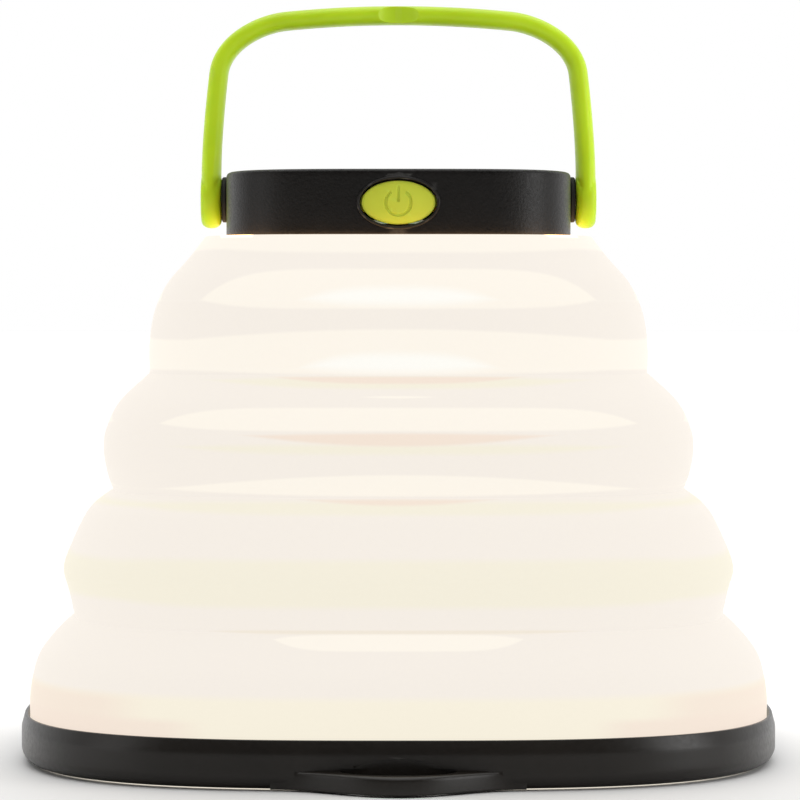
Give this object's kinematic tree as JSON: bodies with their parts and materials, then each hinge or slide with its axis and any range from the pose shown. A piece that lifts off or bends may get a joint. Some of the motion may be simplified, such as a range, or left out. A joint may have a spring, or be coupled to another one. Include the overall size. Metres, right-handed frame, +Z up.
{
  "type": "collapsible camping lantern",
  "caption": "Collapsible camping lantern: a squared silicone bellows folds down between a wide base ring with a hang loop and a small light cap with an oval button and a swinging bail.",
  "frame": {"origin": "centre of the flat underside, on the surface that the lantern stands on", "axes": "+Z up through the cap; -Y to the front, where the button and the hang loop are; +X to the right of someone facing the front; the bail turns about X"},
  "size_m": [0.1142, 0.1212, 0.1145],
  "materials": {
    "black_plastic": "satin moulded black",
    "cap_plastic": "fine spark-eroded texture",
    "inner_plastic": "plain moulded black",
    "base_diffuser": "frosted translucent",
    "bellows_silicone": "translucent silicone, lit from inside",
    "lime_plastic": "satin lime green",
    "lime_rubber": "matt lime green",
    "black_rubber": "matt",
    "steel": "plated",
    "circuit_board": "solder mask",
    "led": "phosphor",
    "chip": "moulded package",
    "cell_foil": "laminated foil",
    "foam": "open foam tape",
    "red_insulation": "wire insulation",
    "black_insulation": "wire insulation",
    "solar_cell": "dark blue cells under resin",
    "solar_window": "clear polycarbonate"
  },
  "bodies": {
    "base": {"base_ring": "black_plastic", "bottom_lens": "base_diffuser", "base_clamp_ring": "inner_plastic", "base_screw_1": "steel", "base_screw_2": "steel", "base_screw_3": "steel", "base_screw_4": "steel", "base_screw_5": "steel", "base_screw_6": "steel", "bellows": "bellows_silicone"},
    "cap": {"cap_shell": "cap_plastic", "cap_floor": "inner_plastic", "cap_clamp_ring": "inner_plastic", "cap_screw_1": "steel", "cap_screw_2": "steel", "cap_screw_3": "steel", "cap_screw_4": "steel", "led_window": "base_diffuser", "circuit_board": "circuit_board", "board_screw_1": "steel", "board_screw_2": "steel", "led_1": "led", "led_2": "led", "led_3": "led", "led_4": "led", "led_5": "led", "led_6": "led", "switch_housing": "chip", "usb_socket": "steel", "charger_chip": "chip", "driver_chip": "chip", "battery_pad": "foam", "battery_cell": "cell_foil", "battery_lead_red": "red_insulation", "battery_lead_black": "black_insulation", "solar_lead_red": "red_insulation", "solar_lead_black": "black_insulation", "solar_panel": "solar_cell", "solar_window": "solar_window", "pivot_pin_left": "steel", "pivot_pin_right": "steel", "pivot_washer_left": "black_rubber", "pivot_washer_right": "black_rubber"},
    "bail": {"handle": "lime_plastic"},
    "button": {"power_button": "lime_rubber", "switch_plunger": "steel"},
    "port_flap": {"usb_cover": "black_rubber"}
  },
  "joints": [
    {"name": "collapse", "type": "slide", "parent": "base", "child": "cap", "axis": [0, 0, -1], "range_m": [0, 0.072], "deforming": ["bellows"]},
    {"name": "handle_swing", "type": "hinge", "parent": "cap", "child": "bail", "pos_m": [0, 0, 0.0847], "axis": [1, 0, 0], "range_deg": [-90, 90]},
    {"name": "button_press", "type": "slide", "parent": "cap", "child": "button", "axis": [0, 1, 0], "range_m": [0, 0.0005], "stiffness_N_per_m": 400},
    {"name": "port_flap_hinge", "type": "hinge", "parent": "cap", "child": "port_flap", "pos_m": [0, 0.0263, 0.0801], "axis": [-1, 0, 0], "range_deg": [0, 100]}
  ]
}
